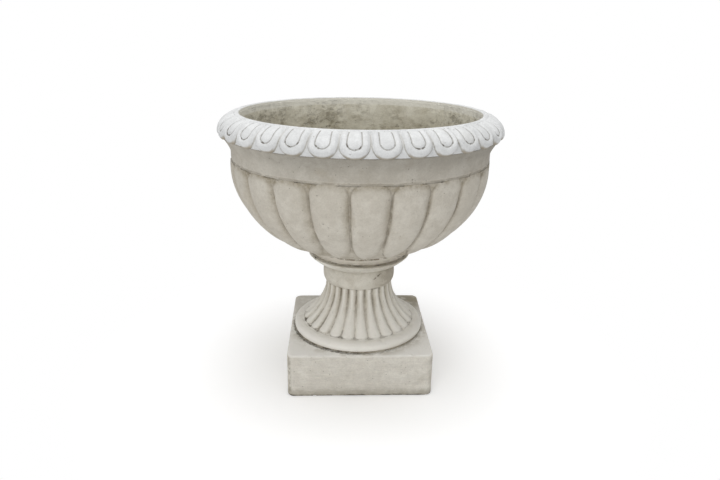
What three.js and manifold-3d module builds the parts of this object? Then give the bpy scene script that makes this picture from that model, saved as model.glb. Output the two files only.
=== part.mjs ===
// Garden urn of cast stone: a gadrooned bowl on a reeded pedestal and a square plinth.
// Three castings stand on each other with mortar beds and dowels between them, and a
// hollow threaded tube ties them together and drains the bowl.
// Units are millimetres, Z is up, and the origin is the middle of the plinth's underside.
// The front of the urn faces -Y.
import * as THREE from "three";
import { mergeVertices } from "three/addons/utils/BufferGeometryUtils.js";
import Module from "manifold-3d";

const wasm = await Module();
wasm.setup();

// Plinth
const plinthSide = 237;
const plinthHeight = 74;
const plinthCornerRadius = 13;
const plinthEdgeRound = 3.5;

// Mortar beds
const footBedThickness = 1.5;
const bowlBedThickness = 2;
const bedInset = 1.5;

// Pedestal, bottom to top: base moulding, reeds, plain ring, collar
const pedestalHeight = 136.5;
const mouldingHeight = 15;
const mouldingRadius = 112;
const mouldingDepth = 13;
const mouldingStepHeight = 1.5;
const mouldingStepDepth = 2;
const reedFootRadius = 96;
const waistRadius = 57;
const ringHeight = 23;
const ringRadius = 60.8;
const ringSwell = 2;
const collarHeight = 28;
const collarRadius = 86;
const reedCount = 25;

// Bowl, bottom to top: neck, gadroons, plain band, rim of tongues
const bowlHeight = 232;
const neckRadius = 70;
const neckHeight = 10;
const neckSlopeHeight = 8;
const lobeProud = 1.5;
const lobeDepth = 5;
const lobeShoulder = 13;
const lobeTopRound = 16;
const lobeEndRound = 12;
const lobeCount = 22;
const bandRadius = 205.3;
const bandHeight = 35.5;
const coveHeight = 25;
const rimOverhang = 19.7;
const rimDrop = 26;
const rimHeight = 35.5;
const rimUndercut = 2;
const lipSetback = 6.7;
const lipRound = 3;
const tongueCount = 33;
const tongueDepth = 3.2;
const tongueBorderWidth = 9.4;
const tongueLineDepth = 1.6;
const tongueFieldDepth = 0.9;

// Hollow of the bowl
const wallThickness = 20;
const floorThickness = 44;
const hollowShoulder = 72;
const paleWallDepth = 13;
const paleWallFlare = 1.5;

// Tie tube with its seal, washers and nuts
const tubeRadius = 10.65;
const tubeBoreRadius = 8;
const tubeProjection = 4;
const threadGap = 0.3;
const tubeClearance = 1.35;
const nutAcrossFlats = 32;
const nutHeight = 9;
const washerThickness = 3;
const washerOverhang = 5;
const sealThickness = 3;
const sealOverhang = 2;
const sumpClearance = 4;
const sumpMouthDrop = 2;
const recessClearance = 5;
const recessHeadroom = 8;

// Dowels
const upperDowelRadius = 4;
const upperDowelDepth = 16;
const upperDowelPitchRadius = 52;
const lowerDowelRadius = 5;
const lowerDowelDepth = 25;
const lowerDowelPitchRadius = 74;
const dowelGap = 0.3;
const dowelEndGap = 0.3;

// Shares and steps that shape the outlines
const bodyCurveShare = 0.84;
const bodyPowerShare = 1.9;
const rimPowerShare = 1.85;
const covePowerShare = 1.7;
const waistPowerShare = 1.95;
const hollowPowerShare = 2.2;
const lobePowerShare = 2.4;
const borderPowerShare = 0.4;
const tongueWidthShare = 0.91;
const lipBendShare = 0.7;
const reedDepthShare = 0.16;
const hollowFloorShare = 0.42;
const collarShares = [[0, 0], [0.2, 0.21], [0.43, 0.53], [0.64, 0.77], [1, 1]];
const ringShares = [[0.02, -1], [0.3, 0], [0.7, 0], [0.98, -0.7]];
const reedRowShares = [0, 0.04, 0.16, 0.36, 0.62, 0.95, 1];
const lobeRowShares = [0, 0.03, 0.11, 0.3, 0.5, 0.68, 0.83, 0.93, 1];
const lobeTopWidthShare = 0.62;
const lobeEndWidthShare = 0.45;
const tongueRowShares = [0.16, 0.34, 0.56, 0.78, 1];
const hollowRowShares = [0, 0.25, 0.48, 0.68, 0.85, 1];
const mouldingRowShares = [0.3, 0.6, 1];
const mouldingWidestShare = 0.35;
const coveRowShares = [0.82, 0.45, 0];
const plainSteps = 66;
const hollowSteps = 48;
const footSteps = 50;
const boreSteps = 24;
const dowelSteps = 12;
const lobeSteps = 6;
const tongueSteps = 6;
const reedSteps = 4;
const cornerSteps = 5;
const roundSteps = 2;
const nutSides = 6;
const overrun = 5;

// Turns about Z, in degrees from +X: where the first gadroon's and the first reed's valley lie
const bowlTurn = THREE.MathUtils.degToRad(-96.1);
const pedestalTurn = THREE.MathUtils.degToRad(-95.7);
const fullTurn = 2 * Math.PI;

// Heights of the three castings above the ground, bottom to top
const pedestalBase = plinthHeight + footBedThickness;
const pedestalTop = pedestalBase + pedestalHeight;
const bowlBase = pedestalTop + bowlBedThickness;

// Heights within the bowl
const rimEdgeHeight = bowlHeight - rimHeight;
const creaseHeight = rimEdgeHeight - bandHeight;
const lobesBottomHeight = neckHeight + neckSlopeHeight;
const lobesWidestHeight = creaseHeight - lobeShoulder;

// Radii of the bowl that follow its plain band
const wallRadius = bandRadius - wallThickness;
const lobeRadius = bandRadius + lobeProud;
const rimRadius = bandRadius + rimOverhang;
const lipRadius = wallRadius + lipSetback;

// Radii that follow the tie tube
const tubeHoleRadius = tubeRadius + tubeClearance;
const nutCornerRadius = nutAcrossFlats / Math.sqrt(3);
const washerRadius = nutCornerRadius + washerOverhang;
const sealRadius = washerRadius + sealOverhang;
const sumpRadius = sealRadius + sumpClearance;
const recessRadius = washerRadius + recessClearance;
const sumpDepth = sealThickness + washerThickness + nutHeight + tubeProjection + sumpMouthDrop;
const sumpFloorHeight = floorThickness - sumpDepth;
const recessDepth = washerThickness + nutHeight + tubeProjection + recessHeadroom;

const stone = (color) => new THREE.MeshStandardMaterial({ color, roughness: 0.9, metalness: 0 });
const castStone = stone("#b9b3a7");
const mortar = stone("#8d8675");
const zincSteel = new THREE.MeshStandardMaterial({ color: "#a9abad", roughness: 0.45, metalness: 1 });
const stainlessSteel = new THREE.MeshStandardMaterial({ color: "#b9bbbd", roughness: 0.35, metalness: 1 });
const blackRubber = new THREE.MeshStandardMaterial({ color: "#1d1d1d", roughness: 0.85, metalness: 0 });

const urn = new THREE.Group();

function addPart(name, geometry, material, height = 0) {
  const mesh = new THREE.Mesh(geometry, material);
  mesh.name = name;
  mesh.position.z = height;
  urn.add(mesh);
  return mesh;
}

// Solids to join and cut with, and back to a geometry.
function solidFrom(geometry) {
  const bare = geometry.clone();
  bare.deleteAttribute("normal");
  bare.deleteAttribute("uv");
  const merged = mergeVertices(bare);
  return new wasm.Manifold(
    new wasm.Mesh({
      numProp: 3,
      vertProperties: merged.getAttribute("position").array,
      triVerts: new Uint32Array(merged.index.array),
    }),
  );
}

function geometryFrom(solid) {
  const mesh = solid.getMesh();
  const geometry = new THREE.BufferGeometry();
  geometry.setAttribute("position", new THREE.BufferAttribute(new Float32Array(mesh.vertProperties), 3));
  geometry.setIndex(new THREE.BufferAttribute(new Uint32Array(mesh.triVerts), 1));
  const loose = geometry.toNonIndexed();
  loose.computeVertexNormals();
  return loose;
}

function cutAll(geometry, cutters) {
  let solid = solidFrom(geometry);
  for (const cutter of cutters) solid = solid.subtract(solidFrom(cutter));
  return geometryFrom(solid);
}

// A round bar along Z from one height to another, with its middle on the X axis.
function bar(radius, bottom, top, x = 0, steps = dowelSteps) {
  const geometry = new THREE.CylinderGeometry(radius, radius, top - bottom, steps);
  geometry.rotateX(Math.PI / 2);
  geometry.translate(x, 0, (bottom + top) / 2);
  return geometry;
}

// A flat round ring from the ground up, between two radii.
function flatRing(inner, outer, thickness, steps = boreSteps) {
  const outline = [
    new THREE.Vector2(inner, 0),
    new THREE.Vector2(outer, 0),
    new THREE.Vector2(outer, thickness),
    new THREE.Vector2(inner, thickness),
    new THREE.Vector2(inner, 0),
  ];
  const geometry = new THREE.LatheGeometry(outline, steps);
  geometry.rotateX(Math.PI / 2);
  return geometry;
}

// A turned body whose outline closes on itself and whose rows may carry relief.
// Each row is one ring of points: its count, radius and height, the direction in which relief
// stands out, and the relief at an angle. Rows run up the outside and down the inside.
function row(count, radius, height, outward = [1, 0], relief = null) {
  return { count, radius, height, outward, relief };
}

function turnedBody(rows, turn) {
  const points = [];
  const starts = [];
  for (const { count, radius, height, outward, relief } of rows) {
    starts.push(points.length / 3);
    for (let i = 0; i < count; i++) {
      const around = (i / count) * fullTurn;
      const raised = relief ? relief(around) : 0;
      const reach = radius + raised * outward[0];
      const angle = turn + around;
      points.push(reach * Math.cos(angle), reach * Math.sin(angle), height + raised * outward[1]);
    }
  }
  const triangles = [];
  rows.forEach((lower, k) => {
    const next = (k + 1) % rows.length;
    joinRows(triangles, starts[k], lower.count, starts[next], rows[next].count);
  });
  const geometry = new THREE.BufferGeometry();
  geometry.setAttribute("position", new THREE.Float32BufferAttribute(points, 3));
  geometry.setIndex(triangles);
  const loose = geometry.toNonIndexed();
  loose.computeVertexNormals();
  return loose;
}

// Joins two rings of points that may differ in count, always stepping on the ring that lags.
function joinRows(triangles, startA, countA, startB, countB) {
  let a = 0;
  let b = 0;
  while (a < countA || b < countB) {
    const pointA = startA + (a % countA);
    const pointB = startB + (b % countB);
    if (b >= countB || (a < countA && (a + 1) / countA <= (b + 1) / countB)) {
      triangles.push(pointA, startA + ((a + 1) % countA), pointB);
      a++;
    } else {
      triangles.push(pointA, startB + ((b + 1) % countB), pointB);
      b++;
    }
  }
}

// Direction square to an outline from one point to the next, on the outer side of a body.
function outwardOf(from, to) {
  const run = to[0] - from[0];
  const rise = to[1] - from[1];
  const length = Math.hypot(run, rise);
  return [rise / length, -run / length];
}

// Distance across one repeat, from -1 to 1, where a valley lies at -1 and 1.
function acrossRepeat(around, count, lead = 0) {
  const turns = ((around - lead) / fullTurn) * count;
  return 2 * (turns - Math.floor(turns)) - 1;
}

// Plinth: a square block with rounded corners and edges, a hole for the tube with a recess
// for the lower nut, and holes for the lower dowels.
function plinthGeometry() {
  const half = plinthSide / 2 - plinthEdgeRound;
  const corner = plinthCornerRadius - plinthEdgeRound;
  const outline = new THREE.Shape();
  outline.absarc(half - corner, half - corner, corner, 0, fullTurn / 4);
  outline.absarc(corner - half, half - corner, corner, fullTurn / 4, fullTurn / 2);
  outline.absarc(corner - half, corner - half, corner, fullTurn / 2, (fullTurn * 3) / 4);
  outline.absarc(half - corner, corner - half, corner, (fullTurn * 3) / 4, fullTurn);
  const block = new THREE.ExtrudeGeometry(outline, {
    depth: plinthHeight - 2 * plinthEdgeRound,
    bevelThickness: plinthEdgeRound,
    bevelSize: plinthEdgeRound,
    bevelSegments: roundSteps,
    curveSegments: cornerSteps,
  });
  block.translate(0, 0, plinthEdgeRound);
  return cutAll(block, [
    bar(tubeHoleRadius, -overrun, plinthHeight + overrun, 0, boreSteps),
    bar(recessRadius, -overrun, recessDepth, 0, boreSteps),
    ...lowerDowelPlaces.map(([x]) =>
      bar(lowerDowelRadius + dowelGap, plinthHeight - lowerDowelDepth, plinthHeight + overrun, x),
    ),
  ]);
}

// Pedestal
function reedRadius(share) {
  return waistRadius + (reedFootRadius - waistRadius) * (1 - share) ** waistPowerShare;
}

function pedestalRows() {
  const rows = [];
  const reedsBottom = mouldingHeight + mouldingStepHeight;
  const ringBottom = pedestalHeight - collarHeight - ringHeight;
  const collarBottom = pedestalHeight - collarHeight;
  const reedsHeight = ringBottom - reedsBottom;
  const widest = mouldingHeight * mouldingWidestShare;
  rows.push(row(footSteps, mouldingRadius - mouldingStepDepth, 0));
  rows.push(row(footSteps, mouldingRadius, widest));
  for (const share of mouldingRowShares) {
    const bend = (share * fullTurn) / 4;
    const radius = mouldingRadius - mouldingDepth * (1 - Math.cos(bend));
    rows.push(row(footSteps, radius, widest + (mouldingHeight - widest) * Math.sin(bend)));
  }
  reedRowShares.forEach((share, k) => {
    const radius = reedRadius(share);
    const height = reedsBottom + reedsHeight * share;
    const earlier = reedRowShares[Math.max(k - 1, 0)];
    const later = reedRowShares[Math.min(k + 1, reedRowShares.length - 1)];
    const outward = outwardOf(
      [reedRadius(earlier), reedsBottom + reedsHeight * earlier],
      [reedRadius(later), reedsBottom + reedsHeight * later],
    );
    const depth = (reedDepthShare * fullTurn * radius) / reedCount;
    const atEnd = k === 0 || k === reedRowShares.length - 1;
    const relief = (around) => {
      const across = acrossRepeat(around, reedCount);
      return atEnd ? -depth / 2 - (depth / 2) * across ** 2 : -depth * across ** 2;
    };
    rows.push(row(reedCount * reedSteps, radius, height, outward, relief));
  });
  for (const [heightShare, swellShare] of ringShares) {
    rows.push(row(footSteps, ringRadius + ringSwell * swellShare, ringBottom + ringHeight * heightShare));
  }
  const collarRootRadius = ringRadius - ringSwell / 2;
  for (const [heightShare, reachShare] of collarShares) {
    const radius = collarRootRadius + (collarRadius - collarRootRadius) * reachShare;
    rows.push(row(footSteps, radius, collarBottom + collarHeight * heightShare));
  }
  rows.push(row(boreSteps, tubeHoleRadius, pedestalHeight));
  rows.push(row(boreSteps, tubeHoleRadius, 0));
  return rows;
}

function pedestalGeometry() {
  return cutAll(turnedBody(pedestalRows(), pedestalTurn), [
    ...upperDowelPlaces.map(([x]) =>
      bar(upperDowelRadius + dowelGap, pedestalHeight - upperDowelDepth, pedestalHeight + overrun, x),
    ),
    ...lowerDowelPlaces.map(([x]) => bar(lowerDowelRadius + dowelGap, -overrun, lowerDowelDepth, x)),
  ]);
}

// Bowl
function bodyRadius(share) {
  // share is 1 where the body is widest and 0 at the lower ends of the gadroons
  const drop = bodyCurveShare * (1 - Math.min(share, 1));
  return lobeRadius * Math.sqrt(1 - drop ** bodyPowerShare);
}

function rimPoint(bend) {
  // bend runs from 0 at the lip's crest to 1 at the widest part of the rim
  const angle = (bend * fullTurn) / 4;
  const power = 2 / rimPowerShare;
  return [
    lipRadius + (rimRadius - lipRadius) * Math.sin(angle) ** power,
    bowlHeight - rimDrop * (1 - Math.cos(angle) ** power),
  ];
}

// Relief of one tongue: a rounded border round a sunk field, and a plain ground outside it.
function tongueRelief(across, radius, toTip) {
  const halfWidth = (tongueWidthShare * fullTurn * radius) / tongueCount / 2;
  const sideways = (Math.abs(across) * fullTurn * radius) / tongueCount / 2;
  const pastCentre = Math.max(halfWidth - toTip, 0);
  const inside = halfWidth - Math.hypot(sideways, pastCentre);
  if (inside <= 0) return -tongueDepth;
  if (inside < tongueBorderWidth) {
    const swell = Math.sin((inside / tongueBorderWidth) * (fullTurn / 2));
    const ground = inside < tongueBorderWidth / 2 ? tongueDepth : tongueLineDepth;
    return -ground * (1 - swell ** borderPowerShare);
  }
  const fieldShare = Math.min((inside - tongueBorderWidth) / tongueBorderWidth, 1);
  return -tongueLineDepth + (tongueLineDepth - tongueFieldDepth) * fieldShare;
}

function rimRows() {
  const outline = [[rimRadius - rimUndercut, rimEdgeHeight]];
  for (const share of [...tongueRowShares].reverse()) outline.push(rimPoint(share));
  const rows = [];
  let fromTip = 0;
  outline.forEach((point, k) => {
    if (k > 0) fromTip += Math.hypot(point[0] - outline[k - 1][0], point[1] - outline[k - 1][1]);
    const toTip = fromTip;
    const before = outline[Math.max(k - 1, 0)];
    const after = outline[Math.min(k + 1, outline.length - 1)];
    const relief = (around) => {
      // a tongue's middle lies one step past the first gadroon's valley
      const lead = fullTurn / (tongueCount * tongueSteps) - fullTurn / tongueCount / 2;
      return tongueRelief(acrossRepeat(around, tongueCount, lead), point[0], toTip);
    };
    rows.push(row(tongueCount * tongueSteps, point[0], point[1], outwardOf(before, after), relief));
  });
  return rows;
}

// Relief of a gadroon: a convex lobe that narrows to a rounded end at its top and bottom.
function lobeRelief(around, height, depth) {
  const fromTop = Math.max(1 - (creaseHeight - height) / lobeTopRound, 0);
  const fromEnd = Math.max(1 - (height - lobesBottomHeight) / lobeEndRound, 0);
  const narrowing = (1 - lobeTopWidthShare) * fromTop ** 2 + (1 - lobeEndWidthShare) * fromEnd ** 2;
  const across = Math.abs(acrossRepeat(around, lobeCount)) / (1 - narrowing);
  const sunk = depth * across ** lobePowerShare;
  return -Math.min(sunk + (depth / 2) * (fromTop ** 2 + fromEnd ** 2), depth);
}

function bowlRows() {
  const rows = [];
  const lobesHeight = creaseHeight - lobesBottomHeight;
  rows.push(row(plainSteps, neckRadius, 0));
  rows.push(row(plainSteps, neckRadius, neckHeight));
  const lobes = [...lobeRowShares].reverse().map((share) => {
    const height = creaseHeight - lobesHeight * share;
    const bodyShare = (height - lobesBottomHeight) / (lobesWidestHeight - lobesBottomHeight);
    return [bodyRadius(bodyShare), height];
  });
  const underside = (neckRadius + 2 * lobes[0][0]) / 3 - lobeDepth;
  rows.push(row(plainSteps, underside, neckHeight + neckSlopeHeight / 3));
  lobes.forEach((point, k) => {
    const before = lobes[Math.max(k - 1, 0)];
    const after = lobes[Math.min(k + 1, lobes.length - 1)];
    const depth = (lobeDepth * (1 + point[0] / lobeRadius)) / 2;
    const relief = (around) => lobeRelief(around, point[1], depth);
    rows.push(row(lobeCount * lobeSteps, point[0], point[1], outwardOf(before, after), relief));
  });
  const coveReach = rimRadius - rimUndercut - tongueDepth - bandRadius;
  for (const share of [...coveRowShares].reverse()) {
    const radius = bandRadius + coveReach * share ** covePowerShare;
    rows.push(row(plainSteps, radius, rimEdgeHeight - coveHeight * (1 - share)));
  }
  rows.push(...rimRows());
  rows.push(row(plainSteps, lipRadius, bowlHeight));
  rows.push(row(plainSteps, lipRadius - lipRound * lipBendShare, bowlHeight - lipRound * (1 - lipBendShare)));
  rows.push(row(plainSteps, lipRadius - lipRound, bowlHeight - lipRound));
  rows.push(...hollowRows());
  rows.push(row(boreSteps, sumpRadius, floorThickness));
  rows.push(row(boreSteps, sumpRadius, sumpFloorHeight));
  rows.push(row(boreSteps, tubeHoleRadius, sumpFloorHeight));
  rows.push(row(boreSteps, tubeHoleRadius, 0));
  return rows;
}

// Inner wall, from the pale band under the lip down to the edge of the floor.
function hollowRows() {
  const shoulderHeight = bowlHeight - hollowShoulder;
  const floorRadius = wallRadius * hollowFloorShare;
  const power = 2 / hollowPowerShare;
  const rows = [row(hollowSteps, wallRadius + paleWallFlare, bowlHeight - paleWallDepth)];
  for (const share of hollowRowShares) {
    const bend = (share * fullTurn) / 4;
    const radius = floorRadius + (wallRadius - floorRadius) * Math.cos(bend) ** power;
    const height = shoulderHeight - (shoulderHeight - floorThickness) * Math.sin(bend) ** power;
    rows.push(row(hollowSteps, radius, height));
  }
  return rows;
}

function bowlGeometry() {
  return cutAll(
    turnedBody(bowlRows(), bowlTurn),
    upperDowelPlaces.map(([x]) => bar(upperDowelRadius + dowelGap, -overrun, upperDowelDepth, x)),
  );
}

// Mortar beds: thin rings that the tube and the dowels pass through.
function bedGeometry(radius, thickness, dowelPlaces, dowelRadius) {
  return cutAll(
    flatRing(tubeHoleRadius, radius, thickness, footSteps),
    dowelPlaces.map(([x]) => bar(dowelRadius + dowelGap, -overrun, thickness + overrun, x)),
  );
}

function nutGeometry() {
  const outline = new THREE.Shape();
  for (let corner = 0; corner < nutSides; corner++) {
    const angle = (corner / nutSides) * fullTurn;
    const x = nutCornerRadius * Math.cos(angle);
    const y = nutCornerRadius * Math.sin(angle);
    if (corner === 0) outline.moveTo(x, y);
    else outline.lineTo(x, y);
  }
  outline.closePath();
  const bore = new THREE.Path();
  bore.absarc(0, 0, tubeRadius + threadGap, 0, fullTurn, true);
  outline.holes.push(bore);
  return new THREE.ExtrudeGeometry(outline, {
    depth: nutHeight,
    bevelEnabled: false,
    curveSegments: boreSteps,
  });
}

// Places of the dowels: a pair on the X axis in each joint
const lowerDowelPlaces = [[-lowerDowelPitchRadius, "left"], [lowerDowelPitchRadius, "right"]];
const upperDowelPlaces = [[-upperDowelPitchRadius, "left"], [upperDowelPitchRadius, "right"]];

// The castings and their beds
const footBedRadius = mouldingRadius - mouldingStepDepth - bedInset;
const bowlBedRadius = neckRadius - bedInset;
const footBed = bedGeometry(footBedRadius, footBedThickness, lowerDowelPlaces, lowerDowelRadius);
const bowlBed = bedGeometry(bowlBedRadius, bowlBedThickness, upperDowelPlaces, upperDowelRadius);

addPart("plinth", plinthGeometry(), castStone);
addPart("foot_mortar_bed", footBed, mortar, plinthHeight);
addPart("pedestal", pedestalGeometry(), castStone, pedestalBase);
addPart("bowl_mortar_bed", bowlBed, mortar, pedestalTop);
addPart("bowl", bowlGeometry(), castStone, bowlBase);

// The tie tube and what clamps it: upper end in the sump of the bowl, lower end in the plinth
const sumpFloor = bowlBase + sumpFloorHeight;
const topWasherBase = sumpFloor + sealThickness;
const topNutBase = topWasherBase + washerThickness;
const tubeTop = topNutBase + nutHeight + tubeProjection;
const bottomWasherBase = recessDepth - washerThickness;
const bottomNutBase = bottomWasherBase - nutHeight;
const tubeBottom = bottomNutBase - tubeProjection;
const washerBore = tubeRadius + threadGap;

addPart("tube_seal", flatRing(washerBore, sealRadius, sealThickness), blackRubber, sumpFloor);
addPart("top_washer", flatRing(washerBore, washerRadius, washerThickness), zincSteel, topWasherBase);
addPart("top_nut", nutGeometry(), zincSteel, topNutBase);
addPart("bottom_washer", flatRing(washerBore, washerRadius, washerThickness), zincSteel, bottomWasherBase);
addPart("bottom_nut", nutGeometry(), zincSteel, bottomNutBase);
addPart("tie_tube", flatRing(tubeBoreRadius, tubeRadius, tubeTop - tubeBottom), zincSteel, tubeBottom);

// The dowels: half of each lies in the casting below its joint and half in the one above
function addDowels(name, places, radius, depth, jointHeight, bedThickness) {
  const length = 2 * depth + bedThickness - 2 * dowelEndGap;
  for (const [x, side] of places) {
    const base = jointHeight - depth + dowelEndGap;
    addPart(name + "_" + side, bar(radius, 0, length), stainlessSteel, base).position.x = x;
  }
}

addDowels("lower_dowel", lowerDowelPlaces, lowerDowelRadius, lowerDowelDepth, plinthHeight, footBedThickness);
addDowels("upper_dowel", upperDowelPlaces, upperDowelRadius, upperDowelDepth, pedestalTop, bowlBedThickness);

export default urn;
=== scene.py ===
import math

import bpy
from mathutils import Matrix, Vector


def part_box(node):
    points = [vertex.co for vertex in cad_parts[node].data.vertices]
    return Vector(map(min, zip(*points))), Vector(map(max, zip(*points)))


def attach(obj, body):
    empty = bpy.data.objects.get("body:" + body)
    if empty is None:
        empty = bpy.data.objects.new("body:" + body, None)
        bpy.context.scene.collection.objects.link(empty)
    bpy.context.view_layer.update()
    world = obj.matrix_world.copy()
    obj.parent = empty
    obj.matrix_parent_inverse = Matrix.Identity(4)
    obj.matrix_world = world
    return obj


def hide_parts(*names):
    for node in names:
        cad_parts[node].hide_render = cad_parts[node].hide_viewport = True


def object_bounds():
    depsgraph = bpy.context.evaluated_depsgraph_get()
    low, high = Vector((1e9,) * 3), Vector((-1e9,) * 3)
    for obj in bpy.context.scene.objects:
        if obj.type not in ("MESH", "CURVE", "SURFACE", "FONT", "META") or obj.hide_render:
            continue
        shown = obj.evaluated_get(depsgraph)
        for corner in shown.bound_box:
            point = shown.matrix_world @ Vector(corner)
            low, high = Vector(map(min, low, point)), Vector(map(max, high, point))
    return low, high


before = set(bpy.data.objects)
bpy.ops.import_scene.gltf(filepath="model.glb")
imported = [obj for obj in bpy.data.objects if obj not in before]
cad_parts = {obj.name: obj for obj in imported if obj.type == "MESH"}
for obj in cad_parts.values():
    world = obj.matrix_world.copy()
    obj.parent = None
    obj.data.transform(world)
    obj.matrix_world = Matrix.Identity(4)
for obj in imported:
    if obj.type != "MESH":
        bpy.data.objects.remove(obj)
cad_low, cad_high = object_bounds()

# A garden urn of weathered cast stone. Lengths are in metres, the origin is the middle of the
# plinth's underside, Z is up and the front faces -Y.
mm = 0.001
full_turn = 2 * math.pi

# Heights and radii that the frame gives
plinth_low, plinth_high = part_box("plinth")
pedestal_low, pedestal_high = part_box("pedestal")
bowl_low, bowl_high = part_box("bowl")
tube_low, tube_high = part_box("tie_tube")
plinth_half = plinth_high.x
plinth_top = plinth_high.z
pedestal_base = pedestal_low.z
pedestal_top = pedestal_high.z
moulding_radius = min(-pedestal_low.x, pedestal_high.x, -pedestal_low.y, pedestal_high.y)
bowl_base = bowl_low.z
bowl_top = bowl_high.z
rim_radius = min(-bowl_low.x, bowl_high.x, -bowl_low.y, bowl_high.y)
tube_radius = tube_high.x
tube_bottom = tube_low.z
tube_top = tube_high.z
nut_flat_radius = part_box("top_nut")[1].y
sump_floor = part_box("tube_seal")[0].z
recess_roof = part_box("bottom_washer")[1].z

# Plinth
plinth_corner_radius = 12 * mm
plinth_edge_round = 3.5 * mm
plinth_foot_round = plinth_edge_round * 0.3

# Pedestal, bottom to top
moulding_height = 15 * mm
moulding_widest = moulding_height * 0.35
moulding_depth = 13 * mm
moulding_step_height = 1.5 * mm
moulding_step_depth = 1.4 * mm
reed_foot_radius = 96 * mm
waist_radius = 57 * mm
waist_curve = 2.15
ring_height = 31 * mm
ring_radius = 61.4 * mm
ring_swell = 3.6 * mm
collar_height = 20 * mm
collar_radius = 86 * mm
reed_count = 25
reed_width_share = 0.97
reed_depth_share = 0.2
reed_end_length = 6 * mm
reeds_bottom = pedestal_base + moulding_height + moulding_step_height
collar_bottom = pedestal_top - collar_height
ring_bottom = collar_bottom - ring_height

# Cracks on the front of the collar and the ring: x and height of both ends, and the width
cracks = (
    ((-78 * mm, 203 * mm), (-71.5 * mm, 213 * mm), 1.6 * mm),
    ((23 * mm, 180 * mm), (34 * mm, 187 * mm), 1.8 * mm),
    ((19 * mm, 160.5 * mm), (30 * mm, 162 * mm), 1.8 * mm),
    ((-35 * mm, 162 * mm), (-30 * mm, 161 * mm), 1.8 * mm),
)

# Bowl, bottom to top. The lobes are its gadroons.
neck_radius = 78 * mm
neck_height = 9 * mm
neck_fillet = 3.2 * mm
lobes_bottom_height = 18 * mm
lobe_radius = 206.8 * mm
lobe_body_drop = 0.828
lobe_body_curve = 1.9
lobe_depth = 5.5 * mm
lobe_shoulder = 15 * mm
lobe_end_height = 25.5 * mm
lobe_end_length = 52 * mm
lobe_growth_length = 45 * mm
lobe_top_length = 26 * mm
lobe_top_round = 15 * mm
lobe_top_arch = 4.5 * mm
lobe_lean = 0.35
lobe_count = 22
lobe_width_share = 0.98
band_radius = 205.3 * mm
band_height = 35.5 * mm
cove_height = 22 * mm
rim_drop = 26 * mm
rim_height = 35.5 * mm
rim_undercut = 2 * mm
rim_curve = 2 / 1.85
lip_radius = 192 * mm
lip_round = 3 * mm
tongue_count = 33
tongue_width_share = 0.97
tongue_depth = 5.4 * mm
tongue_border_width = 10.4 * mm
tongue_border_at_tip = 18.5 * mm
tongue_tip_length = 27 * mm
tongue_overlap = 3.5 * mm
tongue_line_depth = 2.1 * mm
tongue_field_depth = 0.6 * mm
tongue_field_slope = 4 * mm
wall_radius = 185.3 * mm
floor_radius = wall_radius * 0.42
floor_thickness = 44 * mm
hollow_shoulder = 72 * mm
hollow_curve = 2 / 2.2
pale_wall_flare = 1.5 * mm
rim_edge = bowl_top - rim_height
crease = rim_edge - band_height
neck_top = bowl_base + neck_height
lobes_bottom = bowl_base + lobes_bottom_height
lobes_widest = crease - lobe_shoulder
hollow_floor = bowl_base + floor_thickness
pale_wall_bottom = bowl_top - 13 * mm

# How a gadroon or a reed rounds off at its edge, and the share of its depth that its sides slope down
pad_roundness = 2.2
pad_crown = 0.65

# How far below level the three rows under a tongue's tip face, and then the tip itself
tip_leans = [math.radians(turn) for turn in (78, 60, 42, 22)]

# Tie tube, its holes, and the gaps round it
tube_hole_radius = 12 * mm
sump_radius = 29.475 * mm
recess_radius = 28.475 * mm
tube_bore_radius = 8 * mm
tube_thread_pitch = 1.814 * mm
tube_thread_depth = 1.1 * mm
tube_thread_length = 22 * mm
thread_gap = 0.3 * mm
bed_gap = 0.5 * mm
chamfer = 1 * mm

# How far the mortar is squeezed out of each joint
mortar_spills = {"foot_mortar_bed": 2.6 * mm, "bowl_mortar_bed": 13 * mm}

# Turns about Z, from +X, where the first gadroon's and the first reed's valley lie
bowl_turn = math.radians(-96.1)
pedestal_turn = math.radians(-95.7)

# Steps round the bowl, a number that 22 gadroons and 33 tongues both divide, and the tongues' turn
bowl_steps = 11 * 66
tongue_turn = bowl_turn + (4 / bowl_steps - 0.5 / tongue_count) * full_turn

# Camera: the photograph's place, heading, pitch, roll and angle of view
camera_place = Vector((-37.7, -975.0, 569.9)) * mm
camera_heading = math.radians(-2.292)
camera_pitch = math.radians(19.275)
camera_roll = math.radians(0.812)
camera_lens = 30.473
camera_sensor = 36.0

# Light: a wide lamp overhead, a wide lamp from the left of the front and an even sky
sky_strength = 0.52
top_place = Vector((0.05, -0.05, 2.4))
top_size = 1.6
top_power = 26
front_place = Vector((-0.85, -2.4, 1.25))
front_size = 2.0
front_power = 20

# The camera sees the floor's light and shadow near the urn, and plain white farther off
floor_half = 4.0
floor_white = 0.86
floor_light = 0.825
floor_shadow_near = 0.18
floor_shadow_far = 0.5


# Node trees
class Value:
    """What a node gives: a number, vector, colour or shape. Arithmetic adds Math nodes to its tree."""

    def __init__(self, tree, socket):
        self.tree = tree
        self.socket = socket

    def __neg__(self):
        return self * -1

    def beside(self, key):
        """Another output of the same node."""
        return Value(self.tree, self.socket.node.outputs[key])


def feed(item, socket):
    """Joins a value to a socket, or sets a constant. A colour is given in parts of 255, as it shows."""
    if isinstance(item, Value):
        item.tree.links.new(item.socket, socket)
    elif socket.type == "RGBA":
        socket.default_value = [((part / 255 + 0.055) / 1.055) ** 2.4 for part in item] + [1.0]
    else:
        socket.default_value = item


def add_node(tree, kind, inputs={}, output=0, **settings):
    """Adds a node with its settings, feeds its inputs by name or number, and gives back an output."""
    node = tree.nodes.new(kind)
    for key, item in settings.items():
        setattr(node, key, item)
    for key, item in inputs.items():
        feed(item, node.inputs[key])
    return Value(tree, node.outputs[output])


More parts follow.
